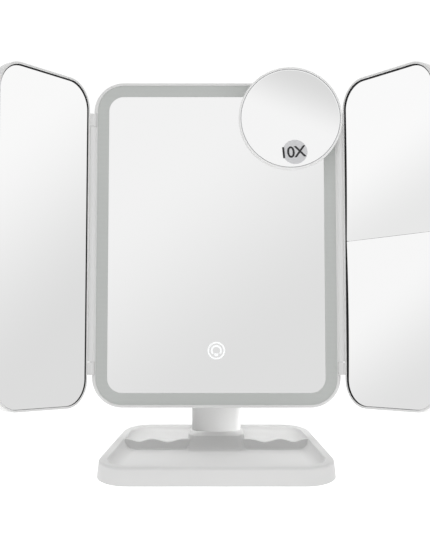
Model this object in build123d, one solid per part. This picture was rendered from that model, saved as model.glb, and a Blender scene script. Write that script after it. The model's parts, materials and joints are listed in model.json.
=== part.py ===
from build123d import *
import math
import os

# Three-panel lighted vanity mirror on a tray base, in millimetres.
# Row frame: origin on the table, straight below the lower front edge of the main mirror, which is
# also the middle of the footprint. X to the right, Y to the back, Z up.
# The head is drawn upright in its own frame: u to the right, depth d backwards from the front lip,
# v upwards from its lower edge. HEAD then leans it back over the stem.

# ---- driving sizes -------------------------------------------------------------------------------
# head
HEAD_WIDTH = 185.6
HEAD_HEIGHT = 245.7
HEAD_CORNER = 22.4
HEAD_LEAN = 11.0
HEAD_FOOT_Z = 45.3
LIP = 2.6
END_LIP = 2.1
LIP_ROUND = 1.5
BAND_WIDTH = 8.8
FRAME_DEPTH = 9.0
COVER_DEPTH = 16.0
WALL = 2.0
GLASS = 2.0

# wing hinges, on both long sides of the head
AXIS_U = 93.4
AXIS_D = -0.5
BARREL_RADIUS = 2.5
KNUCKLE_HEIGHT = 9.3
KNUCKLE_FROM_END = 24.4
KNUCKLE_GAP = 0.45
KNUCKLE_POCKET = 0.4
PIN_RADIUS = 1.0
PIN_CLEARANCE = 0.04
PIN_LENGTH = 19.0
WEB_DEPTH = 2.6

# wings
WING_FOLD = 53.9
WING_WIDTH = 90.2
WING_HEIGHT = 244.1
WING_CORNER = 21.0
WING_FOOT = 0.5
WING_NEAR = AXIS_U + BARREL_RADIUS + 0.3
WING_DEPTH = 7.6
WING_RIM = 1.65
GLASS_RECESS = 1.2
LINER_NEAR = 0.5
LINER_TOP = 0.9
LINER_FAR = 0.2
LINER_BASE = 0.8
GLASS_PLAY = 0.05
WING_SHELF = 1.2
SPLIT_V = 124.0
SPLIT_GAP = 0.5

# clip-on magnifying mirror
SPOT_U = 55.5
SPOT_V = 215.6
SPOT_RADIUS = 38.7
SPOT_BACK = 4.0
SPOT_FRONT = 13.0
SPOT_CURVE = 300.0
LABEL_U = 58.7
LABEL_V = 190.2
LABEL_RADIUS = 9.3
LABEL_FILM = 0.15

# touch switch behind the glass
TOUCH_V = 42.4

# tilt hinge behind the head
PIVOT_V = 30.0
STEM_Y = 26.6
KNUCKLE_HALF = 9.0
CHEEK = 5.0

# stem
STEM_HALF_WIDTH = 19.0
STEM_HALF_DEPTH = 8.0
STEM_END_RADIUS = 6.0
STEM_WALL = 2.0

# tray, drawn round its own centre and then set back by TRAY_Y
TRAY_Y = 12.6
TRAY_FRONT = 181.2
TRAY_BACK = 145.0
TRAY_DEPTH = 116.8
TRAY_TOP = 13.8
TRAY_CORNER = 24.0
TRAY_DRAFT = 1.65
RIM_WIDTH = 6.4
FOOT_HEIGHT = 0.8
FLOOR_TOP = 5.0
FLOOR = 1.5
COLLAR_TOP = 16.5
COLLAR_WALL = 2.4
COLLAR_LEAD = 1.8
SHOULDER_TOP = 18.2
SOCKET_CLEARANCE = 0.25

# ---- worked out from them ------------------------------------------------------------------------
LEAN_SIN = math.sin(math.radians(HEAD_LEAN))
LEAN_COS = math.cos(math.radians(HEAD_LEAN))
HEAD_MID = HEAD_HEIGHT / 2
BAND_U = HEAD_WIDTH - 2 * LIP
BAND_V = HEAD_HEIGHT - 2 * END_LIP
BAND_CORNER = HEAD_CORNER - LIP
MIRROR_U = BAND_U - 2 * BAND_WIDTH
MIRROR_V = BAND_V - 2 * BAND_WIDTH
MIRROR_CORNER = BAND_CORNER - BAND_WIDTH
PIVOT_D = (STEM_Y + TRAY_Y - PIVOT_V * LEAN_SIN) / LEAN_COS
PIVOT_Z = HEAD_FOOT_Z + PIVOT_V * LEAN_COS - PIVOT_D * LEAN_SIN
WING_FAR = WING_NEAR + WING_WIDTH
WING_U = (WING_NEAR + WING_FAR) / 2
KNUCKLE_FEET = (KNUCKLE_FROM_END, HEAD_HEIGHT - KNUCKLE_FROM_END - KNUCKLE_HEIGHT)
WING_V = WING_FOOT + WING_HEIGHT / 2
SPLIT_AT = (SPLIT_V - WING_FOOT) / WING_HEIGHT

TRAY = Pos(0, TRAY_Y, 0)
HEAD = Pos(0, 0, HEAD_FOOT_Z) * Rot(-HEAD_LEAN, 0, 0)
RIGHT = HEAD * Pos(AXIS_U, AXIS_D, 0) * Rot(0, 0, -WING_FOLD) * Pos(-AXIS_U, -AXIS_D, 0)
LEFT = HEAD * Pos(-AXIS_U, AXIS_D, 0) * Rot(0, 0, WING_FOLD) * Pos(AXIS_U, -AXIS_D, 0)


# ---- drawing helpers -----------------------------------------------------------------------------
def panel(width, height, corner, near, far, u=0.0, v=HEAD_MID, back_round=0.0, front_round=0.0):
    """Rounded rectangle facing forwards, from depth near to depth far."""
    body = extrude(RectangleRounded(width, height, corner), far - near)
    if back_round:
        body = fillet(body.edges().group_by(Axis.Z)[0], back_round)
    if front_round:
        body = fillet(body.edges().group_by(Axis.Z)[-1], front_round)
    return Rot(90, 0, 0) * Pos(u, v, -far) * body


def disc(radius, near, far, u, v):
    """Round bar along the depth direction."""
    return Rot(90, 0, 0) * Pos(u, v, -far) * extrude(Circle(radius), far - near)


def post(radius, low, high, u, d):
    """Upright round bar."""
    return Pos(u, d, low) * extrude(Circle(radius), high - low)


def block(u, d, v):
    """Box from three (low, high) pairs."""
    size = [pair[1] - pair[0] for pair in (u, d, v)]
    middle = [(pair[1] + pair[0]) / 2 for pair in (u, d, v)]
    return Pos(*middle) * Box(*size)


def screw(head_radius, head_height, shank_radius, shank_length):
    """Pan-head screw: head on z = 0 and up, shank below, with a cross recess."""
    head = extrude(Circle(head_radius), head_height)
    head = fillet(head.edges().group_by(Axis.Z)[-1], head_height * 0.45)
    arm = head_radius * 1.15
    for width, length in ((arm, 0.5), (0.5, arm)):
        head -= Pos(0, 0, head_height) * Box(width, length, head_height)
    return head + Pos(0, 0, -shank_length) * extrude(Circle(shank_radius), shank_length + 0.05)


def rear_screw(u, v, seat, head_radius=2.6, head_height=1.5, shank_radius=1.3, shank_length=8.0):
    """Screw driven forwards from behind, its head seated at depth seat."""
    body = screw(head_radius, head_height, shank_radius, shank_length)
    return Pos(u, seat, v) * Rot(-90, 0, 0) * body


def oval(half_width, half_depth, end_radius, y=0.0):
    """Stem section: two shallow arcs, front and back, joined by tangent end arcs."""
    reach = half_width - end_radius
    radius = (reach**2 + half_depth**2 - end_radius**2) / (2 * (half_depth - end_radius))
    tx = radius * reach / (radius - end_radius)
    ty = (half_depth - radius) + radius * (radius - half_depth) / (radius - end_radius)
    outline = [
        ThreePointArc((-tx, -ty), (0, -half_depth), (tx, -ty)),
        ThreePointArc((tx, -ty), (half_width, 0), (tx, ty)),
        ThreePointArc((tx, ty), (0, half_depth), (-tx, ty)),
        ThreePointArc((-tx, ty), (-half_width, 0), (-tx, -ty)),
    ]
    return Pos(0, y) * make_face(outline)


def oval_bar(half_width, half_depth, end_radius, low, high, y=STEM_Y):
    return Pos(0, 0, low) * extrude(oval(half_width, half_depth, end_radius, y), high - low)


def save(name, body, place, colour):
    shape = place * body
    shape.label = name
    shape.color = Color(*colour)
    os.makedirs("parts", exist_ok=True)
    export_step(shape, f"parts/{name}.step")


# ---- tray ----------------------------------------------------------------------------------------
def tray_outline(inset=0.0):
    half = TRAY_DEPTH / 2
    corners = [
        (-TRAY_FRONT / 2, -half),
        (TRAY_FRONT / 2, -half),
        (TRAY_BACK / 2, half),
        (-TRAY_BACK / 2, half),
    ]
    face = make_face(Polyline(*corners, close=True))
    face = fillet(face.vertices(), TRAY_CORNER)
    return offset(face, -inset) if inset else face


def tray_slab(inset, low, high):
    return Pos(0, 0, low) * extrude(tray_outline(inset), high - low)


SCREW_SPOTS = [(-62, -38), (62, -38), (-52, 38), (52, 38)]
FOOT_SPOTS = [(-68, -44), (68, -44), (-54, 44), (54, 44)]
WAVE = [(24.5, 0.0), (38.0, -2.5), (50.0, 0.0), (59.5, -2.3), (71.0, 0.3)]
CREST = 13.2
DIVIDER_FRONT = 15.3
DIVIDER_BACK = 17.9
CAVITY_INSET = TRAY_DRAFT + RIM_WIDTH
SKIRT = 2.6
COVE = 1.6


def divider():
    """Wavy wall across the tray, from one side wall to the other through the collar."""
    def side(sign):
        crest = [(sign * x, CREST + z) for x, z in WAVE]
        end = sign * 76.0
        return [
            Polyline((0, CREST), crest[0]),
            Spline(*crest, tangents=((sign, 0), (sign, 0.1))),
            Polyline(crest[-1], (end, CREST), (end, FLOOR_TOP - 1), (0, FLOOR_TOP - 1), (0, CREST)),
        ]

    thickness = DIVIDER_BACK - DIVIDER_FRONT
    wall = None
    for sign in (-1, 1):
        face = make_face(side(sign))
        half = Pos(0, DIVIDER_BACK, 0) * Rot(90, 0, 0) * extrude(face, thickness)
        wall = half if wall is None else wall + half
    return wall


def collar():
    """Socket for the stem: a drafted block that widens to the floor, with sloping shoulders."""
    height = COLLAR_TOP - FLOOR_TOP + 1
    half_u = STEM_HALF_WIDTH + COLLAR_WALL
    half_d = STEM_HALF_DEPTH + COLLAR_WALL + COLLAR_LEAD / 2
    middle = STEM_Y - COLLAR_LEAD / 2

    def ring(z, grow, corner, y=middle):
        return Pos(0, y, z) * RectangleRounded(2 * (half_u + grow), 2 * (half_d + grow), corner)

    body = loft([ring(COLLAR_TOP - height, 2.5, 7.0), ring(COLLAR_TOP, 0, 6.0)])
    body = fillet(body.edges().group_by(Axis.Z)[-1], 0.7)
    rim = RectangleRounded(2 * STEM_HALF_WIDTH + 1.8, 2 * STEM_HALF_DEPTH + 1.8, 6.5)
    body += loft([ring(COLLAR_TOP - 0.05, -0.8, 5.6), Pos(0, STEM_Y, SHOULDER_TOP) * rim])
    spread = [SKIRT * (1 - math.sin(math.radians(turn))) for turn in (0, 30, 60, 90)]
    rise = [SKIRT * (1 - math.cos(math.radians(turn))) for turn in (0, 30, 60, 90)]
    for i in range(3):
        body += loft([ring(FLOOR_TOP - 0.05 + rise[k], 2.2 + spread[k], 7.0 + spread[k]) for k in (i, i + 1)])
    return body


def coving():
    """Quarter-round fillets along both feet of the wavy wall."""
    strips = None
    for face_y, side in ((DIVIDER_FRONT, -1), (DIVIDER_BACK, 1)):
        corner = Pos(0.5 * COVE * side, 0.5 * COVE) * Rectangle(COVE, COVE)
        corner -= Pos(COVE * side, COVE) * Circle(COVE)
        strip = Pos(-76, face_y, FLOOR_TOP - 0.05) * Rot(0, 0, 90) * Rot(90, 0, 0) * extrude(corner, 152)
        strips = strip if strips is None else strips + strip
    return strips


def tray_shell():
    draft = math.degrees(math.atan(TRAY_DRAFT / TRAY_TOP))
    body = Pos(0, 0, FOOT_HEIGHT) * extrude(tray_outline(), TRAY_TOP - FOOT_HEIGHT, taper=draft)
    body = fillet(body.edges().group_by(Axis.Z)[-1], 2.2)
    cavity = tray_slab(CAVITY_INSET, FLOOR_TOP, TRAY_TOP + 1)
    cavity = fillet(cavity.edges().group_by(Axis.Z)[0], 8.0)
    body -= cavity
    mouth = [edge for edge in body.edges() if edge.center().Z > TRAY_TOP - 0.05]
    body = fillet(mouth, 0.9)
    for wall in (divider(), coving()):
        body += wall & tray_slab(CAVITY_INSET - 3, FLOOR_TOP - 1, TRAY_TOP + 9)
    body += collar()
    body -= tray_slab(5.0, 0, FLOOR_TOP - FLOOR)
    body -= tray_slab(4.2, 0, 11.2) - tray_slab(CAVITY_INSET - 2.0, 0, 11.2)
    body -= oval_bar(STEM_HALF_WIDTH + SOCKET_CLEARANCE, STEM_HALF_DEPTH + SOCKET_CLEARANCE,
                     STEM_END_RADIUS + SOCKET_CLEARANCE, FLOOR_TOP - 0.2, SHOULDER_TOP + 1)
    for x, y in SCREW_SPOTS:
        boss = Pos(x, y, 1.9) * extrude(Circle(3.0), FLOOR_TOP - 0.6 - 1.9)
        hole = Pos(x, y, 0) * extrude(Circle(1.1), FLOOR_TOP - 1.0)
        body = body + boss - hole
    return body


def base_cover():
    body = tray_slab(5.2, FOOT_HEIGHT, FOOT_HEIGHT + 1.0)
    for x, y in SCREW_SPOTS:
        body -= Pos(x, y, 0) * extrude(Circle(1.3), 5)
        body -= Pos(x, y, 0) * extrude(Circle(2.7), FOOT_HEIGHT + 0.55)
    return body


def ballast_plate():
    body = tray_slab(11.0, FOOT_HEIGHT + 1.05, FLOOR_TOP - FLOOR - 0.05)
    for x, y in SCREW_SPOTS:
        body -= Pos(x, y, 0) * extrude(Circle(3.4), 5)
    return body


def rubber_feet():
    feet = []
    for x, y in FOOT_SPOTS:
        foot = extrude(Circle(6.0), FOOT_HEIGHT)
        feet.append(Pos(x, y, 0) * fillet(foot.edges().group_by(Axis.Z)[0], 0.4))
    return Compound(feet)


def base_screws():
    """Flush screws that hold the cover and the plate under the tray."""
    screws = []
    for x, y in SCREW_SPOTS:
        body = screw(2.4, 0.5, 1.05, 2.6)
        screws.append(Pos(x, y, FOOT_HEIGHT + 0.52) * Rot(180, 0, 0) * body)
    return Compound(screws)


# ---- stem ----------------------------------------------------------------------------------------
STEM_FOOT = FLOOR_TOP + 0.1
STEM_TOP = PIVOT_Z - 12.0
ARM_HALF_WIDTH = 9.0
ARM_HALF_DEPTH = 4.0
STEM_SCREWS_Z = [12.0, 30.0, 48.0]


def stem_body(half):
    """Hollow oval stem, split on its middle plane; half is -1 for the front, 1 for the back."""
    outer = oval_bar(STEM_HALF_WIDTH, STEM_HALF_DEPTH, STEM_END_RADIUS, STEM_FOOT, STEM_TOP)
    outer = fillet(outer.edges().group_by(Axis.Z)[-1], 1.5)
    inner = oval_bar(STEM_HALF_WIDTH - STEM_WALL, STEM_HALF_DEPTH - STEM_WALL,
                     STEM_END_RADIUS - STEM_WALL, STEM_FOOT + 2, STEM_TOP - 2)
    slot = block((-ARM_HALF_WIDTH - 0.1, ARM_HALF_WIDTH + 0.1),
                 (STEM_Y - ARM_HALF_DEPTH - 0.1, STEM_Y + ARM_HALF_DEPTH + 0.1),
                 (STEM_TOP - 4, STEM_TOP + 4))
    keep = block((-30, 30), sorted((STEM_Y, STEM_Y + half * 20)), (0, 90))
    body = outer - inner - slot
    spots = [Pos(side * 13.5, STEM_Y, z) * Rot(-90, 0, 0) for side in (-1, 1) for z in STEM_SCREWS_Z]
    for spot in spots:
        body += (spot * Pos(0, 0, -10) * extrude(Circle(3.2), 20)) & outer
    for spot in spots:
        if half < 0:
            body -= spot * Pos(0, 0, -5.0) * extrude(Circle(1.05), 5.1)
        else:
            body -= spot * extrude(Circle(1.3), 10)
            body -= spot * Pos(0, 0, 4.2) * extrude(Circle(2.5), 6)
    return body & keep


def stem_screws():
    screws = []
    for side in (-1, 1):
        for z in STEM_SCREWS_Z:
            body = screw(2.2, 1.2, 1.05, 8.8)
            screws.append(Pos(side * 13.5, STEM_Y + 4.25, z) * Rot(-90, 0, 0) * body)
    return Compound(screws)


def tilt_arm():
    """Metal arm down the middle of the stem, with the tilt knuckle at its top."""
    shaft = block((-ARM_HALF_WIDTH, ARM_HALF_WIDTH), (STEM_Y - ARM_HALF_DEPTH, STEM_Y + ARM_HALF_DEPTH),
                  (STEM_FOOT + 2.2, PIVOT_Z))
    knuckle = Pos(-KNUCKLE_HALF, STEM_Y, PIVOT_Z) * Rot(0, 90, 0) * extrude(Circle(8.0), 2 * KNUCKLE_HALF)
    bore = Pos(-20, STEM_Y, PIVOT_Z) * Rot(0, 90, 0) * extrude(Circle(2.5 + PIN_CLEARANCE), 40)
    return shaft + knuckle - bore


# ---- head: frame, cover and what they hold --------------------------------------------------------
BOSS_NEAR = 5.4
RIB_NEAR = 7.4
HOUSING_SCREWS = [(u, v) for u in (-78, 78) for v in (22, 122.5, 223)]
BATTERY_V = 100.0
HUMP_WIDTH = 78.0
HUMP_HEIGHT = 74.0
HUMP_DEPTH = 25.0
DOOR_WIDTH = 62.0
DOOR_HEIGHT = 56.0
CELL_RADIUS = 7.15
CELL_LENGTH = 49.5
CELL_PITCH = 14.6
CELL_D = 15.6
BOX_HALF_U = 2 * CELL_PITCH + 1.9
BOX_HALF_V = 27.4
LEAD_D = 11.6
BRACKET_SCREWS = [(u, v) for u in (-19, 19) for v in (19, 41)]
USB_U = -50.0


def hinge_barrel(sign):
    """Long fixed barrel on the head's side, between the two wing knuckles."""
    low = KNUCKLE_FROM_END + KNUCKLE_HEIGHT + KNUCKLE_GAP
    high = HEAD_HEIGHT - low
    body = post(BARREL_RADIUS, low, high, AXIS_U, AXIS_D)
    body += block((HEAD_WIDTH / 2 - 1, AXIS_U), (AXIS_D, AXIS_D + WEB_DEPTH), (low, high))
    for foot, top in ((low, low + PIN_LENGTH), (high - PIN_LENGTH, high)):
        body -= post(PIN_RADIUS, foot - 0.1, top + 0.1, AXIS_U, AXIS_D)
    return mirror(body, Plane.YZ) if sign < 0 else body


def main_front_frame():
    body = panel(HEAD_WIDTH, HEAD_HEIGHT, HEAD_CORNER, 0, FRAME_DEPTH, front_round=LIP_ROUND)
    body -= panel(BAND_U, BAND_V, BAND_CORNER, -1, 3.6)
    body -= panel(BAND_U - 2.4, BAND_V - 2.4, BAND_CORNER - 1.2, -1, FRAME_DEPTH + 1)
    for u, v in HOUSING_SCREWS:
        wall_u = math.copysign(HEAD_WIDTH / 2 - LIP - 0.5, u)
        body += disc(3.0, BOSS_NEAR, FRAME_DEPTH, u, v)
        body += block(sorted((u, wall_u)), (RIB_NEAR, FRAME_DEPTH), (v - 1.5, v + 1.5))
        body -= disc(1.3, 0, FRAME_DEPTH + 1, u, v)
    for sign in (-1, 1):
        for foot in KNUCKLE_FEET:
            body -= post(BARREL_RADIUS + KNUCKLE_POCKET, foot - KNUCKLE_GAP,
                         foot + KNUCKLE_HEIGHT + KNUCKLE_GAP, sign * AXIS_U, AXIS_D)
        body += hinge_barrel(sign)
    return body


def main_rear_cover():
    body = panel(HEAD_WIDTH, HEAD_HEIGHT, HEAD_CORNER, FRAME_DEPTH, COVER_DEPTH, back_round=4.0)
    hump = panel(HUMP_WIDTH, HUMP_HEIGHT, 9.0, COVER_DEPTH - 3, HUMP_DEPTH, v=BATTERY_V, back_round=3.5)
    body += hump
    body -= panel(HEAD_WIDTH - 2 * WALL, HEAD_HEIGHT - 2 * WALL, HEAD_CORNER - WALL,
                  FRAME_DEPTH - 1, COVER_DEPTH - WALL, back_round=2.0)
    body -= panel(HUMP_WIDTH - 2 * WALL, HUMP_HEIGHT - 2 * WALL, 7.0,
                  COVER_DEPTH - 5, HUMP_DEPTH - WALL, v=BATTERY_V)
    body -= panel(DOOR_WIDTH - 3, DOOR_HEIGHT - 3, 3.0, HUMP_DEPTH - 4, HUMP_DEPTH + 1, v=BATTERY_V)
    body -= panel(DOOR_WIDTH, DOOR_HEIGHT, 4.0, HUMP_DEPTH - 1.2, HUMP_DEPTH + 1, v=BATTERY_V)
    for u, v in HOUSING_SCREWS:
        body += disc(4.0, FRAME_DEPTH + 0.05, COVER_DEPTH - 1, u, v)
        body -= disc(1.4, 0, COVER_DEPTH + 1, u, v)
        body -= disc(2.8, COVER_DEPTH - 3.5, COVER_DEPTH + 1, u, v)
    for u, v in BRACKET_SCREWS:
        body += disc(3.2, COVER_DEPTH - 5, COVER_DEPTH - 1, u, v)
        body -= disc(1.3, COVER_DEPTH - 5.5, COVER_DEPTH + 1, u, v)
    body -= block((USB_U - 4.8, USB_U + 4.8), (10.2, 13.8), (-1, 4))
    return body


def light_diffuser():
    body = panel(BAND_U - 0.2, BAND_V - 0.2, BAND_CORNER - 0.1, 0.5, 3.5)
    return body - panel(MIRROR_U + 0.1, MIRROR_V + 0.1, MIRROR_CORNER + 0.05, 0, 5)


def main_mirror_glass():
    return panel(MIRROR_U - 0.1, MIRROR_V - 0.1, MIRROR_CORNER - 0.05, 0.5, 0.5 + GLASS)


def mirror_backing_plate():
    body = panel(MIRROR_U + 3, MIRROR_V + 3, MIRROR_CORNER + 1.5, 3.6, 5.0)
    body += panel(MIRROR_U - 4, MIRROR_V - 4, MIRROR_CORNER - 2, 0.5 + GLASS, 3.6)
    body -= disc(6.5, 0, 9, 0, TOUCH_V)
    for v in (77.0, 172.0):
        body -= panel(146, 84, 8, 2, 4.0, v=v)
    return body


LED_PITCH = 12.4
BOARD_U = BAND_U - 2.8
BOARD_V = BAND_V - 2.8
BOARD_WIDTH = 7.2
BOARD_NEAR = 6.2
BOARD_FAR = 7.2
CHIP_HEIGHT = 0.8


def led_board():
    body = panel(BOARD_U, BOARD_V, BAND_CORNER - 1.4, BOARD_NEAR, BOARD_FAR)
    return body - panel(BOARD_U - 2 * BOARD_WIDTH, BOARD_V - 2 * BOARD_WIDTH, MIRROR_CORNER,
                        BOARD_NEAR - 1, BOARD_FAR + 1)


def led_chips():
    """Surface-mount lamps in a row along the four straight runs of the board."""
    chips = []
    track_u = (BOARD_U - BOARD_WIDTH) / 2
    track_v = (BOARD_V - BOARD_WIDTH) / 2
    across = [LED_PITCH * (i - 5) for i in range(11)]
    along = [LED_PITCH * (i - 7.5) for i in range(16)]
    for side in (-1, 1):
        spots = [(u, HEAD_MID + side * track_v) for u in across]
        spots += [(side * track_u, HEAD_MID + v) for v in along]
        for u, v in spots:
            chips.append(block((u - 1.4, u + 1.4), (BOARD_NEAR - CHIP_HEIGHT, BOARD_NEAR),
                               (v - 1.75, v + 1.75)))
    return Compound(chips)


def touch_pad():
    return disc(5.0, 0.5 + GLASS, 5.4, 0, TOUCH_V)


def touch_board():
    body = panel(26, 20, 1.5, 5.4, 6.6, v=TOUCH_V)
    return body + block((-3, 3), (6.6, 8.0), (TOUCH_V - 3, TOUCH_V + 3))


def control_board():
    body = panel(46, 32, 1.5, 9.2, 10.4, u=USB_U, v=20.0)
    body += block((USB_U - 14, USB_U - 6), (10.4, 11.6), (18, 26))
    body += block((USB_U + 4, USB_U + 12), (10.4, 12.8), (22, 29))
    return body + disc(3.0, 10.4, 13.4, USB_U + 15, 14)


def power_leads():
    """Two wires from the side of the battery box down to the control board's connector."""
    leads = []
    for step in (0, 1):
        u = USB_U + 6.5 + 3.0 * step
        v = BATTERY_V - 14.0 + 3.0 * step
        route = [(-BOX_HALF_U - 0.05, LEAD_D, v), (u, LEAD_D, v), (u, LEAD_D, 29.05)]
        path = FilletPolyline(*route, radius=4.0)
        leads.append(sweep(Plane(origin=path @ 0, z_dir=path % 0) * Circle(0.7), path=path))
    return Compound(leads)


def usb_socket():
    body = panel(9.0, 7.4, 0.6, 10.45, 13.6, u=USB_U, v=4.2)
    body -= block((USB_U - 4.1, USB_U + 4.1), (10.9, 13.15), (-1, 6.6))
    return body + block((USB_U - 3.2, USB_U + 3.2), (11.7, 12.35), (1.2, 6.8))


def battery_box():
    outer = block((-BOX_HALF_U, BOX_HALF_U), (6.9, 22.9), (BATTERY_V - BOX_HALF_V, BATTERY_V + BOX_HALF_V))
    inner = block((1.4 - BOX_HALF_U, BOX_HALF_U - 1.4), (8.1, 30),
                  (BATTERY_V - BOX_HALF_V + 1.2, BATTERY_V + BOX_HALF_V - 1.2))
    return outer - inner


def cell_row():
    return [CELL_PITCH * (i - 1.5) for i in range(4)]


def battery_cells():
    """Four AA cells side by side, every second one upside down."""
    cells = []
    for i, u in enumerate(cell_row()):
        up = 1 if i % 2 else -1
        low = BATTERY_V - CELL_LENGTH / 2
        can = post(CELL_RADIUS, low, low + CELL_LENGTH, u, CELL_D)
        can = fillet(can.edges(), 0.6)
        tip = BATTERY_V + up * CELL_LENGTH / 2
        nub = post(2.6, min(tip, tip + up), max(tip, tip + up), u, CELL_D)
        cells.append(can + nub)
    return Compound(cells)


def battery_contacts():
    """Tinned plates: a flat one at each nub and a bowed one at each flat end."""
    plates = []
    for u in cell_row():
        for end in (-1, 1):
            face = BATTERY_V + end * (BOX_HALF_V - 1.2)
            v = sorted((face, face - end * 0.4))
            plates.append(block((u - 5.0, u + 5.0), (10.5, 20.5), v))
    return Compound(plates)


def battery_door():
    body = panel(DOOR_WIDTH - 0.6, DOOR_HEIGHT - 0.6, 3.7, HUMP_DEPTH - 1.0, HUMP_DEPTH + 0.2,
                 v=BATTERY_V)
    body -= panel(20, 5, 2.4, HUMP_DEPTH - 0.4, HUMP_DEPTH + 1, v=BATTERY_V + DOOR_HEIGHT / 2 - 7)
    for row in range(4):
        v = BATTERY_V + DOOR_HEIGHT / 2 - 14 - 2.2 * row
        body += block((-8, 8), (HUMP_DEPTH + 0.1, HUMP_DEPTH + 0.7), (v - 0.5, v + 0.5))
    return body


def housing_screws():
    seat = COVER_DEPTH - 3.5
    return Compound([rear_screw(u, v, seat, shank_length=6.6) for u, v in HOUSING_SCREWS])


def wing_hinge_pins():
    pins = []
    outer_end = KNUCKLE_FROM_END + 0.6
    inner_end = KNUCKLE_FROM_END + KNUCKLE_HEIGHT + KNUCKLE_GAP + PIN_LENGTH
    for u in (-AXIS_U, AXIS_U):
        pins.append(post(PIN_RADIUS, outer_end, inner_end, u, AXIS_D))
        pins.append(post(PIN_RADIUS, HEAD_HEIGHT - inner_end, HEAD_HEIGHT - outer_end, u, AXIS_D))
    return Compound(pins)


# ---- tilt hinge on the back of the head ------------------------------------------------------------
CHEEK_NEAR = KNUCKLE_HALF + 0.7
CHEEK_FAR = CHEEK_NEAR + CHEEK
BRACKET_FACE = COVER_DEPTH + 3.0


def tilt_bracket():
    body = panel(50, 36, 5.0, COVER_DEPTH, BRACKET_FACE, v=PIVOT_V, back_round=1.0)
    for side in (-1, 1):
        inner, outer = sorted((side * CHEEK_NEAR, side * CHEEK_FAR))
        ear = Pos(inner, PIVOT_D, PIVOT_V) * Rot(0, 90, 0) * extrude(Circle(8.0), outer - inner)
        ear += block((inner, outer), (BRACKET_FACE - 1, PIVOT_D), (PIVOT_V - 8, PIVOT_V + 8))
        body += ear
    body -= Pos(-30, PIVOT_D, PIVOT_V) * Rot(0, 90, 0) * extrude(Circle(2.5), 60)
    for side in (-1, 1):
        start = side * CHEEK_FAR - (0 if side < 0 else 2.4)
        body -= Pos(start, PIVOT_D, PIVOT_V) * Rot(0, 90, 0) * extrude(Circle(5.2), 2.4)
    for u, v in BRACKET_SCREWS:
        body -= disc(1.4, COVER_DEPTH - 1, BRACKET_FACE + 1, u, v)
        body -= disc(2.8, COVER_DEPTH + 1.4, BRACKET_FACE + 1, u, v)
    return body


def bracket_screws():
    return Compound([rear_screw(u, v, COVER_DEPTH + 1.45, shank_length=6.0) for u, v in BRACKET_SCREWS])


def tilt_pin():
    """Shouldered pin through both ears, with a round head in the left one."""
    shaft = Pos(-CHEEK_FAR, PIVOT_D, PIVOT_V) * Rot(0, 90, 0) * extrude(Circle(2.5), 2 * CHEEK_FAR - 0.2)
    head = Pos(-CHEEK_FAR, PIVOT_D, PIVOT_V) * Rot(0, 90, 0) * extrude(Circle(5.0), 2.2)
    return shaft + head


def tilt_nut():
    nut = extrude(RegularPolygon(4.9, 6) - Circle(2.5), 2.1)
    return Pos(CHEEK_FAR - 2.35, PIVOT_D, PIVOT_V) * Rot(0, 90, 0) * nut


def friction_washers():
    rings = []
    for start in (-CHEEK_NEAR, KNUCKLE_HALF + 0.1):
        ring = extrude(Circle(7.0) - Circle(2.6), 0.6)
        rings.append(Pos(start, PIVOT_D, PIVOT_V) * Rot(0, 90, 0) * ring)
    return Compound(rings)


# ---- wings, drawn flat beside the head on the right ------------------------------------------------
POCKET_WIDTH = WING_WIDTH - 2 * WING_RIM
POCKET_HEIGHT = WING_HEIGHT - 2 * WING_RIM
POCKET_CORNER = WING_CORNER - WING_RIM
POCKET_DEPTH = GLASS_RECESS + GLASS + 0.4 + LINER_BASE
HOLE_WIDTH = POCKET_WIDTH - LINER_NEAR - LINER_FAR
HOLE_HEIGHT = POCKET_HEIGHT - LINER_TOP - LINER_FAR
HOLE_U = WING_U + (LINER_NEAR - LINER_FAR) / 2
HOLE_V = WING_V - (LINER_TOP - LINER_FAR) / 2
HOLE_CORNER = POCKET_CORNER - LINER_FAR
COVER_SEAT = POCKET_DEPTH + WING_SHELF


def wing_panel(width, height, corner, near, far, **rounds):
    return panel(width, height, corner, near, far, u=WING_U, v=WING_V, **rounds)


def wing_frame():
    body = wing_panel(WING_WIDTH, WING_HEIGHT, WING_CORNER, 0, COVER_SEAT, front_round=0.5)
    body -= wing_panel(POCKET_WIDTH, POCKET_HEIGHT, POCKET_CORNER, -1, POCKET_DEPTH)
    for foot in KNUCKLE_FEET:
        top = foot + KNUCKLE_HEIGHT
        body += post(BARREL_RADIUS, foot, top, AXIS_U, AXIS_D)
        body += block((AXIS_U, WING_NEAR + 1), (AXIS_D, AXIS_D + WEB_DEPTH), (foot, top))
        body -= post(PIN_RADIUS + PIN_CLEARANCE, foot - 1, top + 1, AXIS_U, AXIS_D)
    return body


def wing_cover():
    body = wing_panel(WING_WIDTH, WING_HEIGHT, WING_CORNER, COVER_SEAT, WING_DEPTH, back_round=1.6)
    return body - wing_panel(WING_WIDTH - 8, WING_HEIGHT - 8, WING_CORNER - 4, COVER_SEAT - 1, WING_DEPTH - 1.2)


def wing_liner():
    body = wing_panel(POCKET_WIDTH - 0.02, POCKET_HEIGHT - 0.02, POCKET_CORNER, 0.25, POCKET_DEPTH)
    return body - panel(HOLE_WIDTH, HOLE_HEIGHT, HOLE_CORNER, -1, POCKET_DEPTH - LINER_BASE, u=HOLE_U, v=HOLE_V)


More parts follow.
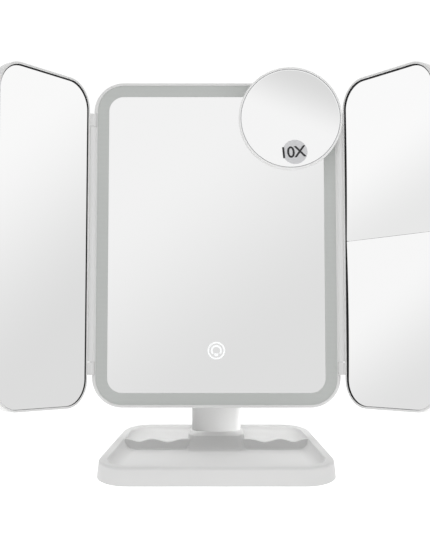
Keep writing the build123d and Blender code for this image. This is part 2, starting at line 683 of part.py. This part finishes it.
def wing_glass(low=0.0, high=1.0, sag=0.0):
    """Mirror over part of the wing's height; sag is how far a magnifier's middle is dished."""
    thickness_end = POCKET_DEPTH - LINER_BASE
    body = panel(HOLE_WIDTH - 2 * GLASS_PLAY, HOLE_HEIGHT - 2 * GLASS_PLAY, HOLE_CORNER - GLASS_PLAY,
                 GLASS_RECESS, thickness_end, u=HOLE_U, v=HOLE_V)
    foot = WING_FOOT + WING_HEIGHT * low + (SPLIT_GAP / 2 if low else 0)
    top = WING_FOOT + WING_HEIGHT * high - (SPLIT_GAP / 2 if high < 1 else 0)
    body &= block((WING_NEAR, WING_FAR), (0, WING_DEPTH), (foot, top))
    if sag:
        half_diagonal = math.hypot(HOLE_WIDTH, top - foot) / 2
        radius = (half_diagonal**2 + sag**2) / (2 * sag)
        centre = Pos(HOLE_U, GLASS_RECESS + sag - radius, (foot + top) / 2)
        body -= centre * Sphere(radius)
    return body


# ---- clip-on magnifying mirror ---------------------------------------------------------------------
def spot_housing():
    body = disc(SPOT_RADIUS, -SPOT_FRONT, -SPOT_BACK, SPOT_U, SPOT_V)
    rims = body.edges().filter_by(GeomType.CIRCLE)
    rims = rims.group_by(Axis.Y)
    body = fillet(rims[-1], 3.5)
    body = fillet(body.edges().filter_by(GeomType.CIRCLE).group_by(Axis.Y)[0], 0.8)
    return body - disc(SPOT_RADIUS - 1.2, -SPOT_FRONT - 1, -SPOT_BACK - 2.0, SPOT_U, SPOT_V)


def spot_mirror_glass():
    radius = SPOT_RADIUS - 1.3
    body = disc(radius, 0.5 - SPOT_FRONT, -SPOT_BACK - 2.1, SPOT_U, SPOT_V)
    sag = radius**2 / (2 * SPOT_CURVE)
    centre = Pos(SPOT_U, 0.8 - SPOT_FRONT + sag - SPOT_CURVE, SPOT_V)
    return body - centre * Sphere(SPOT_CURVE)


def spot_label():
    """Thin round film on the glass that says how much it magnifies."""
    blank = disc(LABEL_RADIUS, -SPOT_FRONT, -SPOT_BACK, LABEL_U, LABEL_V)
    sag = (SPOT_RADIUS - 1.3) ** 2 / (2 * SPOT_CURVE)
    middle = 0.8 - SPOT_FRONT + sag
    glass_face = Pos(SPOT_U, middle - SPOT_CURVE, SPOT_V) * Sphere(SPOT_CURVE)
    film_face = Pos(SPOT_U, middle - SPOT_CURVE, SPOT_V) * Sphere(SPOT_CURVE - LABEL_FILM)
    return (blank & glass_face) - film_face


def spot_suction_cups():
    cups = []
    for turn in (90, 210, 330):
        u = SPOT_U + 12.0 * math.cos(math.radians(turn))
        v = SPOT_V + 12.0 * math.sin(math.radians(turn))
        profile = Polyline((0, 0.1), (2.2, 0.1), (2.2, 2.2), (6.0, 4.1), (5.6, 4.25), (0, 3.0), close=True)
        cup = revolve(make_face(profile), Axis.Y)
        cups.append(Pos(u, -SPOT_BACK, v) * cup)
    return Compound(cups)


# ---- write every node ------------------------------------------------------------------------------
WHITE = (0.93, 0.93, 0.92)
STEEL = (0.7, 0.7, 0.72)
GREEN = (0.15, 0.45, 0.25)
BLACK = (0.05, 0.05, 0.05)
MIRROR = (0.75, 0.8, 0.85)

save("tray_shell", tray_shell(), TRAY, WHITE)
save("tray_base_cover", base_cover(), TRAY, (0.8, 0.8, 0.8))
save("ballast_plate", ballast_plate(), TRAY, STEEL)
save("rubber_feet", rubber_feet(), TRAY, BLACK)
save("base_screws", base_screws(), TRAY, STEEL)

save("stem_front_shell", stem_body(-1), TRAY, WHITE)
save("stem_rear_shell", stem_body(1), TRAY, (0.85, 0.85, 0.84))
save("stem_screws", stem_screws(), TRAY, STEEL)
save("tilt_arm", tilt_arm(), TRAY, STEEL)

save("main_front_frame", main_front_frame(), HEAD, WHITE)
save("main_rear_cover", main_rear_cover(), HEAD, (0.85, 0.85, 0.84))
save("main_mirror_glass", main_mirror_glass(), HEAD, MIRROR)
save("light_diffuser", light_diffuser(), HEAD, (0.75, 0.77, 0.75))
save("mirror_backing_plate", mirror_backing_plate(), HEAD, WHITE)
save("led_board", led_board(), HEAD, GREEN)
save("led_chips", led_chips(), HEAD, (0.95, 0.9, 0.5))
save("touch_pad", touch_pad(), HEAD, BLACK)
save("touch_board", touch_board(), HEAD, GREEN)
save("control_board", control_board(), HEAD, GREEN)
save("usb_socket", usb_socket(), HEAD, STEEL)
save("power_leads", power_leads(), HEAD, (0.7, 0.1, 0.1))
save("battery_box", battery_box(), HEAD, (0.3, 0.3, 0.3))
save("battery_cells", battery_cells(), HEAD, (0.2, 0.3, 0.6))
save("battery_contacts", battery_contacts(), HEAD, STEEL)
save("battery_door", battery_door(), HEAD, WHITE)
save("housing_screws", housing_screws(), HEAD, STEEL)
save("wing_hinge_pins", wing_hinge_pins(), HEAD, STEEL)
save("tilt_bracket", tilt_bracket(), HEAD, (0.85, 0.85, 0.84))
save("bracket_screws", bracket_screws(), HEAD, STEEL)
save("tilt_pin", tilt_pin(), HEAD, STEEL)
save("tilt_nut", tilt_nut(), HEAD, STEEL)
save("friction_washers", friction_washers(), HEAD, STEEL)

for name, place, sign in (("left", LEFT, -1), ("right", RIGHT, 1)):
    def hand(body):
        return mirror(body, Plane.YZ) if sign < 0 else body

    save(f"{name}_wing_frame", hand(wing_frame()), place, WHITE)
    save(f"{name}_wing_cover", hand(wing_cover()), place, (0.85, 0.85, 0.84))
    save(f"{name}_wing_liner", hand(wing_liner()), place, BLACK)
save("left_wing_mirror", mirror(wing_glass(), Plane.YZ), LEFT, MIRROR)
save("right_upper_mirror", wing_glass(SPLIT_AT, 1.0, sag=1.1), RIGHT, MIRROR)
save("right_lower_mirror", wing_glass(0.0, SPLIT_AT, sag=1.6), RIGHT, MIRROR)

save("spot_housing", spot_housing(), HEAD, WHITE)
save("spot_mirror_glass", spot_mirror_glass(), HEAD, MIRROR)
save("spot_label", spot_label(), HEAD, (0.8, 0.8, 0.8))
save("spot_suction_cups", spot_suction_cups(), HEAD, (0.7, 0.8, 0.8))
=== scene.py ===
import json
import math

import bmesh
import bpy
from mathutils import Matrix, Vector

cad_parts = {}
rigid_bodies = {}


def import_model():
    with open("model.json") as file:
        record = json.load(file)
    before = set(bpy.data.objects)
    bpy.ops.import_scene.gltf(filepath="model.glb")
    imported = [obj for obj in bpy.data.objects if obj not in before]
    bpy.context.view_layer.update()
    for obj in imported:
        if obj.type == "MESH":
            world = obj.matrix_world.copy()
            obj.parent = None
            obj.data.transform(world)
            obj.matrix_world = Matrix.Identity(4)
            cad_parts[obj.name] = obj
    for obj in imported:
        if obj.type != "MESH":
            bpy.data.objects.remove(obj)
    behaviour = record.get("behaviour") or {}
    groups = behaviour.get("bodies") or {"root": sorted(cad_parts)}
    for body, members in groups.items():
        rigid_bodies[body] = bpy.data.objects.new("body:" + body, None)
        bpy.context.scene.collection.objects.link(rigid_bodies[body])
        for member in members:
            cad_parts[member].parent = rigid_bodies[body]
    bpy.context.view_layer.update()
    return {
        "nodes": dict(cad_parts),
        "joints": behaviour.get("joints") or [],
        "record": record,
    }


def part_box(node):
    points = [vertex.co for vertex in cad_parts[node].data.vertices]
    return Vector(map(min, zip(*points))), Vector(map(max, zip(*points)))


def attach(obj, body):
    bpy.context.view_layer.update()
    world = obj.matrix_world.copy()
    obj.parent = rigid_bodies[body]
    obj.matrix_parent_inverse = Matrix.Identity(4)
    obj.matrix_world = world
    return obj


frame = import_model()
NODES = frame["nodes"]
MM = 0.001

# ---- the head's own axes: u to the right, v up the glass, w out of the glass ------------------------
JOINTS = {joint["name"]: joint for joint in frame["joints"]}
WING_FOLD = math.radians(-JOINTS["left_wing_fold"]["range_deg"][0])
V_AXIS = Vector(JOINTS["left_wing_fold"]["axis"])
W_AXIS = Vector(JOINTS["spot_mirror_lift"]["axis"])
U_AXIS = V_AXIS.cross(W_AXIS)
HINGE_V = 122.5
HINGE_W = 0.5
LEFT_HINGE = Vector(JOINTS["left_wing_fold"]["pos_m"])
RIGHT_HINGE = Vector(JOINTS["right_wing_fold"]["pos_m"])
HEAD_FOOT = (LEFT_HINGE + RIGHT_HINGE) / 2 - V_AXIS * HINGE_V * MM - W_AXIS * HINGE_W * MM


def head_matrix():
    """Takes (u, v, w) on the main glass to the row frame."""
    turn = Matrix((U_AXIS, V_AXIS, W_AXIS)).transposed().to_4x4()
    return Matrix.Translation(HEAD_FOOT) @ turn


def wing_matrix(side):
    """Takes (u, v, w) of a wing lying flat beside the head to its folded place."""
    name = "left_wing_fold" if side < 0 else "right_wing_fold"
    pivot = Vector(JOINTS[name]["pos_m"])
    turn = Matrix.Rotation(WING_FOLD, 4, Vector(JOINTS[name]["axis"]))
    return Matrix.Translation(pivot) @ turn @ Matrix.Translation(-pivot) @ head_matrix()


# ---- node helpers ----------------------------------------------------------------------------------
class Maker:
    """Builds one procedural material, node by node."""

    def __init__(self, name):
        self.material = bpy.data.materials.new(name)
        self.material.use_nodes = True
        self.tree = self.material.node_tree
        self.shader = self.tree.nodes["Principled BSDF"]
        self.place = self.add("ShaderNodeTexCoord").outputs["Object"]

    def add(self, kind, **settings):
        node = self.tree.nodes.new(kind)
        for key, value in settings.items():
            setattr(node, key, value)
        return node

    def link(self, output, socket):
        self.tree.links.new(output, socket)

    def noise(self, scale, detail=3.0, rough=0.5):
        node = self.add("ShaderNodeTexNoise")
        node.inputs["Scale"].default_value = scale
        node.inputs["Detail"].default_value = detail
        node.inputs["Roughness"].default_value = rough
        self.link(self.place, node.inputs["Vector"])
        return node.outputs["Fac"]

    def remap(self, value, low, high, start=0.0, end=1.0, smooth=False):
        node = self.add("ShaderNodeMapRange")
        if smooth:
            node.interpolation_type = "SMOOTHSTEP"
        node.inputs["From Min"].default_value = start
        node.inputs["From Max"].default_value = end
        node.inputs["To Min"].default_value = low
        node.inputs["To Max"].default_value = high
        self.link(value, node.inputs["Value"])
        return node.outputs["Result"]

    def blend(self, factor, first, second):
        node = self.add("ShaderNodeMix", data_type="RGBA")
        node.inputs["A"].default_value = (*first, 1.0)
        node.inputs["B"].default_value = (*second, 1.0)
        self.link(factor, node.inputs["Factor"])
        return node.outputs["Result"]

    def along(self, direction):
        """Distance of each point along a direction, in metres."""
        node = self.add("ShaderNodeVectorMath", operation="DOT_PRODUCT")
        node.inputs[1].default_value = direction
        self.link(self.place, node.inputs[0])
        return node.outputs["Value"]

    def bump(self, height, depth):
        node = self.add("ShaderNodeBump")
        node.inputs["Strength"].default_value = 1.0
        node.inputs["Distance"].default_value = depth
        self.link(height, node.inputs["Height"])
        self.link(node.outputs["Normal"], self.shader.inputs["Normal"])

    def plain(self, **values):
        for key, value in values.items():
            self.shader.inputs[key.replace("_", " ")].default_value = value

    def base(self, output):
        self.link(output, self.shader.inputs["Base Color"])

    def roughness(self, output):
        self.link(output, self.shader.inputs["Roughness"])


# ---- materials -------------------------------------------------------------------------------------
def moulded_plastic(name, colour, rough, grain=1100.0, depth=4e-6, spread=0.02):
    """Injection-moulded plastic: a faint satin grain and slight tone changes."""
    m = Maker(name)
    tone = m.noise(14.0, 2.0)
    darker = tuple(c * (1.0 - spread) for c in colour)
    m.base(m.blend(m.remap(tone, 0.0, 1.0, 0.35, 0.65), darker, colour))
    m.roughness(m.remap(m.noise(60.0, 4.0), rough - 0.015, rough + 0.02, 0.3, 0.7))
    m.bump(m.noise(grain, 2.0, 0.6), depth)
    m.plain(IOR=1.5)
    return m.material


def frosted_acrylic():
    """Unlit light guide: milky, with a fine dot screen that shows close up."""
    m = Maker("frosted_acrylic")
    cells = m.add("ShaderNodeTexVoronoi", feature="F1")
    cells.inputs["Scale"].default_value = 1400.0
    cells.inputs["Randomness"].default_value = 0.25
    m.link(m.place, cells.inputs["Vector"])
    dots = m.remap(cells.outputs["Distance"], 0.0, 1.0, 0.15, 0.45)
    m.base(m.blend(dots, (0.60, 0.618, 0.60), (0.565, 0.583, 0.568)))
    m.roughness(m.remap(m.noise(300.0), 0.42, 0.55, 0.3, 0.7))
    m.bump(dots, 6e-6)
    m.plain(IOR=1.49)
    return m.material


def painted_sheen_mirror(name, matrix, turn, dark_at, light_at, dark, light):
    """Silvered glass with a painted reflection: its base colour steps from a dark to a light tone across
    the pane, standing in for a soft reflection gradient; turn is measured from v towards u, and the
    marks in mm.
    """
    m = Maker(name)
    u_axis, v_axis = matrix.col[0].to_3d(), matrix.col[1].to_3d()
    origin = matrix.translation
    direction = u_axis * math.sin(math.radians(turn)) + v_axis * math.cos(math.radians(turn))
    offset = origin.dot(direction)
    marks = (dark_at * MM + offset, light_at * MM + offset)
    step = m.remap(m.along(direction), 0.0, 1.0, *marks, smooth=True)
    # painted reflection: the mirror's dark and light tones are set in its base colour
    m.base(m.blend(step, (dark, dark * 1.002, dark), (light, light, light)))
    m.roughness(m.remap(m.noise(35.0, 5.0), 0.012, 0.03, 0.35, 0.7))
    m.plain(Metallic=1.0)
    return m.material


def polished_bevel():
    """Ground and polished edge of the glass, which catches more of the room than the silvering."""
    m = Maker("polished_bevel")
    m.base(m.blend(m.noise(400.0), (0.93, 0.94, 0.935), (0.98, 0.985, 0.98)))
    m.roughness(m.remap(m.noise(900.0), 0.05, 0.12))
    m.plain(Metallic=1.0)
    return m.material


# Black foam gasket lining the glass rims; its black line also stands in for the shadow gap between rim
# and glass, so it is partly painted shade
def black_foam():
    m = Maker("black_foam")
    m.base(m.blend(m.noise(1500.0), (0.010, 0.010, 0.011), (0.022, 0.022, 0.023)))
    m.roughness(m.remap(m.noise(700.0), 0.75, 0.9))
    m.bump(m.noise(2200.0, 2.0), 3e-5)
    m.plain(Specular_IOR_Level=0.1)
    return m.material


def soft_rubber(name, colour, rough, clear=0.0):
    m = Maker(name)
    m.base(m.blend(m.noise(90.0), tuple(c * 0.9 for c in colour), colour))
    m.roughness(m.remap(m.noise(350.0), rough - 0.06, rough + 0.08))
    m.bump(m.noise(1600.0, 2.0), 8e-6)
    m.plain(Transmission_Weight=clear)
    return m.material


def plated_metal(name, colour, rough):
    m = Maker(name)
    m.base(m.blend(m.noise(220.0), tuple(c * 0.9 for c in colour), colour))
    m.roughness(m.remap(m.noise(500.0, 4.0), rough - 0.08, rough + 0.12))
    m.bump(m.noise(1800.0, 2.0), 4e-6)
    m.plain(Metallic=1.0)
    return m.material


def powder_coat():
    m = Maker("zinc_powder_coat")
    m.base(m.blend(m.noise(40.0), (0.76, 0.76, 0.75), (0.82, 0.82, 0.81)))
    m.roughness(m.remap(m.noise(400.0), 0.42, 0.55))
    m.bump(m.noise(1300.0, 3.0), 2e-5)
    return m.material


def circuit_board():
    m = Maker("circuit_board")
    weave = m.add("ShaderNodeTexBrick")
    weave.inputs["Scale"].default_value = 420.0
    weave.inputs["Color1"].default_value = (0.02, 0.16, 0.08, 1.0)
    weave.inputs["Color2"].default_value = (0.03, 0.19, 0.10, 1.0)
    weave.inputs["Mortar"].default_value = (0.04, 0.24, 0.13, 1.0)
    m.link(m.place, weave.inputs["Vector"])
    m.base(weave.outputs["Color"])
    m.roughness(m.remap(m.noise(300.0), 0.3, 0.42))
    return m.material


def battery_sleeve():
    """Printed sleeve with a lighter band at one end."""
    m = Maker("battery_sleeve")
    band = m.remap(m.along(V_AXIS), 0.0, 1.0, 0.150, 0.151)
    m.base(m.blend(band, (0.035, 0.04, 0.05), (0.55, 0.36, 0.16)))
    m.roughness(m.remap(m.noise(200.0), 0.22, 0.34))
    m.plain(Metallic=0.35)
    return m.material


WHITE = (0.83, 0.83, 0.825)
MATERIALS = {
    "white_plastic": moulded_plastic("white_plastic", WHITE, 0.30),
    "frosted_acrylic": frosted_acrylic(),
    "black_foam": black_foam(),
    "rubber": soft_rubber("rubber", (0.045, 0.045, 0.047), 0.7),
    "clear_silicone": soft_rubber("clear_silicone", (0.80, 0.84, 0.84), 0.25, clear=0.6),
    "steel": plated_metal("steel", (0.60, 0.60, 0.61), 0.28),
    "zinc": powder_coat(),
    "circuit_board": circuit_board(),
    "led": moulded_plastic("led", (0.80, 0.66, 0.20), 0.35, grain=3000.0),
    "black_plastic": moulded_plastic("black_plastic", (0.03, 0.03, 0.032), 0.45),
    "battery": battery_sleeve(),
    "wire_red": soft_rubber("wire_red", (0.50, 0.03, 0.025), 0.4),
    "label_film": moulded_plastic("label_film", (0.72, 0.72, 0.735), 0.5),
}
HEAD = head_matrix()
LEFT_WING = wing_matrix(-1)
RIGHT_WING = wing_matrix(1)
# mirror glasses with painted reflections: each base colour runs along a turn, between dark and light
# marks in mm, from a dark to a light tone
GLASSES = {
    "main_mirror_glass": painted_sheen_mirror("main_painted_sheen", HEAD, -37.0, 12, 165, 0.730, 0.887),
    "spot_mirror_glass": painted_sheen_mirror("spot_painted_sheen", HEAD, 23.0, 256, 217, 0.691, 0.908),
    "left_wing_mirror": painted_sheen_mirror("left_painted_sheen", LEFT_WING, -37.2, 118, 266, 0.716, 0.944),
    "right_upper_mirror": painted_sheen_mirror("right_upper_painted_sheen", RIGHT_WING, -20.9, 64, 134, 0.802, 0.949),
    "right_lower_mirror": painted_sheen_mirror("right_lower_painted_sheen", RIGHT_WING, -28.9, -72, 10, 0.745, 0.928),
}


BEVEL = polished_bevel()


def dress_cad_nodes():
    for part in frame["record"]["subparts"]:
        node = NODES[part["node"]]
        for index in range(len(node.data.materials)):
            node.data.materials[index] = GLASSES.get(part["node"]) or MATERIALS[part["material_slot"]]


# ---- pieces that only the looks need ------------------------------------------------------------------
GLASS_FRONT = -0.5
ICON_THICK = 0.06
LABEL_TURN = math.radians(5.0)
LABEL_WIDTH = 17.6
LABEL_LIFT = 0.2
SPOT_CENTRE = (55.5, 215.6)
SPOT_CURVE = 300.0
SPOT_RADIUS = 37.4
SPOT_EDGE = 12.2
RIM_SHADE_INNER = 36.75
BEVEL_INNER = 36.35
LABEL_CENTRE = (58.2, 190.3)


def spot_face(u, v):
    """Height of the magnifier's concave face at a place on the head."""
    sag = (SPOT_RADIUS**2 - (u - SPOT_CENTRE[0])**2 - (v - SPOT_CENTRE[1])**2) / (2 * SPOT_CURVE)
    return SPOT_EDGE - sag


def ring_sector(bm, inner, outer, start, end, centre, steps=72, foot=GLASS_FRONT, thick=ICON_THICK):
    """Flat raised strip between two radii, from one angle to another."""
    low, high = [], []
    for i in range(steps + 1):
        turn = math.radians(start + (end - start) * i / steps)
        for radius, row in ((inner, low), (outer, high)):
            u = centre[0] + radius * math.sin(turn)
            v = centre[1] + radius * math.cos(turn)
            row.append((u, v))
    closed = abs(end - start) >= 360.0
    count = steps if closed else steps + 1
    points = [[bm.verts.new((u, v, w)) for u, v in row[:count]]
              for row, w in ((low, foot), (low, foot + thick), (high, foot + thick), (high, foot))]
    for i in range(steps):
        j = (i + 1) % count
        for k in range(4):
            m = (k + 1) % 4
            bm.faces.new((points[k][i], points[m][i], points[m][j], points[k][j]))
    if not closed:
        bm.faces.new([row[0] for row in reversed(points)])
        bm.faces.new([row[-1] for row in points])


def prism(bm, outline):
    """Raised patch with the given outline on the main glass."""
    raised = GLASS_FRONT + ICON_THICK
    foot = [bm.verts.new((u, v, GLASS_FRONT)) for u, v in outline]
    top = [bm.verts.new((u, v, raised)) for u, v in outline]
    bm.faces.new(top)
    bm.faces.new(list(reversed(foot)))
    for i in range(len(outline)):
        j = (i + 1) % len(outline)
        bm.faces.new((foot[i], foot[j], top[j], top[i]))


def finish_mesh(bm, name, matrix, material, body):
    """Turns bmesh data in head millimetres into a piece that rides on a body."""
    bmesh.ops.transform(bm, matrix=matrix @ Matrix.Scale(MM, 4), verts=bm.verts)
    bmesh.ops.recalc_face_normals(bm, faces=bm.faces)
    mesh = bpy.data.meshes.new(name)
    bm.to_mesh(mesh)
    bm.free()
    mesh.materials.append(material)
    piece = bpy.data.objects.new(name, mesh)
    bpy.context.scene.collection.objects.link(piece)
    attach(piece, body)
    return piece


def glowing_mark():
    """Frosted window in the silvering, faintly lit by the switch's standby lamp."""
    m = Maker("touch_mark")
    m.base(m.blend(m.noise(500.0), (0.86, 0.87, 0.87), (0.90, 0.90, 0.90)))
    m.roughness(m.remap(m.noise(900.0), 0.4, 0.55))
    m.plain(Emission_Color=(0.95, 0.98, 1.0, 1.0), Emission_Strength=0.3)
    return m.material


def add_touch_icon():
    """Switch mark: a ring round a second ring, which is open at its foot over a small screw base."""
    bm = bmesh.new()
    low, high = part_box("touch_pad")
    pad = HEAD.inverted() @ ((Vector(low) + Vector(high)) / 2)
    centre = (0.0, pad.y / MM)
    ring_sector(bm, 5.35, 6.55, 0.0, 360.0, centre, 96)
    ring_sector(bm, 2.75, 4.05, -132.0, 132.0, centre, 72)
    base = [(-1.75, -2.15), (1.75, -2.15), (1.55, -3.1), (0.75, -4.15), (-0.75, -4.15), (-1.55, -3.1)]
    prism(bm, [(u + centre[0], v + centre[1]) for u, v in base])
    finish_mesh(bm, "touch_icon", HEAD, glowing_mark(), "head")


# painted shade: grey colour laid as a ring at the magnifier's glass edge in place of the rim's shaded
# inner wall
def painted_rim_shade():
    m = Maker("painted_rim_shade")
    m.base(m.blend(m.noise(900.0), (0.50, 0.50, 0.51), (0.56, 0.56, 0.57)))
    m.roughness(m.remap(m.noise(1200.0), 0.4, 0.55))
    return m.material


def printed_ink():
    m = Maker("printed_ink")
    m.base(m.blend(m.noise(800.0), (0.006, 0.006, 0.007), (0.013, 0.013, 0.014)))
    m.roughness(m.remap(m.noise(1200.0), 0.35, 0.5))
    return m.material


def add_label_text():
    """The magnifier's power, printed on its round film: it follows the hollow of the glass."""
    curve = bpy.data.curves.new("label_outline", "FONT")
    curve.body = "10X"
    curve.align_x = "CENTER"
    curve.align_y = "CENTER"
    curve.space_character = 0.92
    curve.offset = 0.014
    curve.extrude = 0.004
    curve.resolution_u = 8
    outline = bpy.data.objects.new("label_outline", curve)
    bpy.context.scene.collection.objects.link(outline)
    shape = outline.to_mesh()
    bm = bmesh.new()
    bm.from_mesh(shape)
    outline.to_mesh_clear()
    bpy.data.objects.remove(outline)
    left = min(vert.co.x for vert in bm.verts)
    right = max(vert.co.x for vert in bm.verts)
    low = min(vert.co.y for vert in bm.verts)
    high = max(vert.co.y for vert in bm.verts)
    size = LABEL_WIDTH / (right - left)
    middle = Vector(((left + right) / 2, (low + high) / 2, 0))
    turn = Matrix.Rotation(LABEL_TURN, 3, "Z")
    for vert in bm.verts:
        spot = turn @ ((vert.co - middle) * size)
        u, v = LABEL_CENTRE[0] + spot.x, LABEL_CENTRE[1] + spot.y
        vert.co = (u, v, spot_face(u, v) + LABEL_LIFT + vert.co.z * size)
    finish_mesh(bm, "label_text", HEAD, printed_ink(), "spot_mirror")


def add_spot_edges():
    """Grey ring of painted shade where the magnifier's glass meets its rim, standing in for the shaded
    inner wall of the rim, and the glass's bright edge inside it.
    """
    bm = bmesh.new()
    ring_sector(bm, RIM_SHADE_INNER, SPOT_RADIUS, 0.0, 360.0, SPOT_CENTRE, 192, SPOT_EDGE - 0.02, 0.1)
    finish_mesh(bm, "spot_rim_painted_shade", HEAD, painted_rim_shade(), "spot_mirror")
    bm = bmesh.new()
    ring_sector(bm, BEVEL_INNER, RIM_SHADE_INNER, 0.0, 360.0, SPOT_CENTRE, 192, SPOT_EDGE - 0.12, 0.12)
    finish_mesh(bm, "spot_edge_bevel", HEAD, BEVEL, "spot_mirror")


def hide_from_reflections():
    """The mirrors show the white room only, as a retouched product picture does."""
    for thing in bpy.context.scene.objects:
        if thing.type in {"MESH", "FONT"}:
            thing.visible_glossy = False


# ---- camera, light and floor -------------------------------------------------------------------------
SKY_LOW = 0.04
SKY_HIGH = 0.80
FLOOR_GLOW = 0.62
FOCAL_PX = 968.9
IMAGE_LONG_SIDE = 537
CAMERA_PLACE = (-0.0010, -0.7028, 0.2303)
CAMERA_PITCH = 6.56


def add_camera():
    data = bpy.data.cameras.new("camera")
    data.lens = FOCAL_PX / IMAGE_LONG_SIDE * data.sensor_width
    data.clip_start = 0.01
    camera = bpy.data.objects.new("camera", data)
    camera.location = CAMERA_PLACE
    camera.rotation_euler = (math.radians(90.0 - CAMERA_PITCH), 0.0, 0.0)
    bpy.context.scene.collection.objects.link(camera)
    bpy.context.scene.camera = camera


def add_area(name, place, target, size, power, only_on=(), spread=180.0):
    """Soft lamp; only_on limits what it lights to a few nodes, spread is the width of its beam."""
    data = bpy.data.lights.new(name, "AREA")
    data.shape = "RECTANGLE"
    data.size, data.size_y = size
    data.energy = power
    data.spread = math.radians(spread)
    lamp = bpy.data.objects.new(name, data)
    lamp.location = place
    lamp.rotation_euler = (Vector(target) - Vector(place)).to_track_quat("-Z", "Y").to_euler()
    lamp.visible_glossy = False
    bpy.context.scene.collection.objects.link(lamp)
    if only_on:
        lit = bpy.data.collections.new(name + "_lights")
        for node in only_on:
            lit.objects.link(NODES[node])
        lamp.light_linking.receiver_collection = lit


def add_world():
    """White studio, bright overhead and dim near the horizon; mirrors see an even white room."""
    world = bpy.data.worlds.new("studio")
    bpy.context.scene.world = world
    world.use_nodes = True
    tree = world.node_tree
    place = tree.nodes.new("ShaderNodeTexCoord")
    split = tree.nodes.new("ShaderNodeSeparateXYZ")
    tree.links.new(place.outputs["Generated"], split.inputs[0])

    def rise(start, end, low, high):
        node = tree.nodes.new("ShaderNodeMapRange")
        node.interpolation_type = "SMOOTHSTEP"
        for key, value in (("From Min", start), ("From Max", end), ("To Min", low), ("To Max", high)):
            node.inputs[key].default_value = value
        tree.links.new(split.outputs["Z"], node.inputs["Value"])
        return node.outputs["Result"]

    def choose(factor, plain, special):
        node = tree.nodes.new("ShaderNodeMix")
        tree.links.new(factor, node.inputs["Factor"])
        tree.links.new(plain, node.inputs["A"])
        if isinstance(special, float):
            node.inputs["B"].default_value = special
        else:
            tree.links.new(special, node.inputs["B"])
        return node.outputs["Result"]

    path = tree.nodes.new("ShaderNodeLightPath")
    light = rise(0.1, 0.8, SKY_LOW, SKY_HIGH)
    seen = rise(-0.7, -0.2, 0.93, 1.0)
    light = choose(path.outputs["Is Glossy Ray"], light, seen)
    light = choose(path.outputs["Is Camera Ray"], light, 1.05)
    background = tree.nodes["Background"]
    tree.links.new(light, background.inputs["Color"])
    background.inputs["Strength"].default_value = 1.0


def add_floor():
    mesh = bpy.data.meshes.new("floor")
    reach = 6.0
    corners = [(-reach, -reach, 0), (reach, -reach, 0), (reach, reach, 0), (-reach, reach, 0)]
    mesh.from_pydata([Vector(c) for c in corners], [], [(0, 1, 2, 3)])
    floor = bpy.data.objects.new("floor", mesh)
    bpy.context.scene.collection.objects.link(floor)
    m = Maker("floor_paper")
    m.base(m.blend(m.noise(6.0), (0.84, 0.84, 0.84), (0.86, 0.86, 0.86)))
    m.roughness(m.remap(m.noise(120.0), 0.7, 0.8))
    m.plain(Emission_Color=(1.0, 1.0, 1.0, 1.0), Emission_Strength=FLOOR_GLOW)
    mesh.materials.append(m.material)


def add_lamps():
    """Two lamps for everything, then a few that bring single parts to their tone."""
    add_area("key_front", (0.0, -0.75, 1.5), (0, 0, 0.1), (1.2, 0.6), 3.3)
    add_area("back_top", (0.0, 0.9, 1.1), (0, 0.03, 0), (1.0, 0.6), 1.8)
    stem = ("stem_front_shell", "stem_rear_shell")
    add_area("stem_right", (0.95, -0.35, 0.15), (0, 0.04, 0.03), (0.3, 0.3), 8.5, stem)
    add_area("spot_fill", (0.3, -0.9, 0.1), (0.055, 0.03, 0.25), (0.4, 0.4), 2.0, ("spot_housing",))
    for side in (-1, 1):
        under_head = (side * 0.045, 0.004, 0.041)
        rear_wall = (side * 0.045, 0.068, 0.007)
        add_area("rear_tray", under_head, rear_wall, (0.07, 0.006), 0.0022, ("tray_shell",), 45.0)


def set_view():
    settings = bpy.context.scene.view_settings
    settings.view_transform = "Standard"
    settings.look = "None"
    settings.exposure = 0.0
    settings.gamma = 1.0


# ---- build -------------------------------------------------------------------------------------------
add_camera()
set_view()
add_world()
add_floor()
add_lamps()
dress_cad_nodes()
add_touch_icon()
add_label_text()
add_spot_edges()
hide_from_reflections()
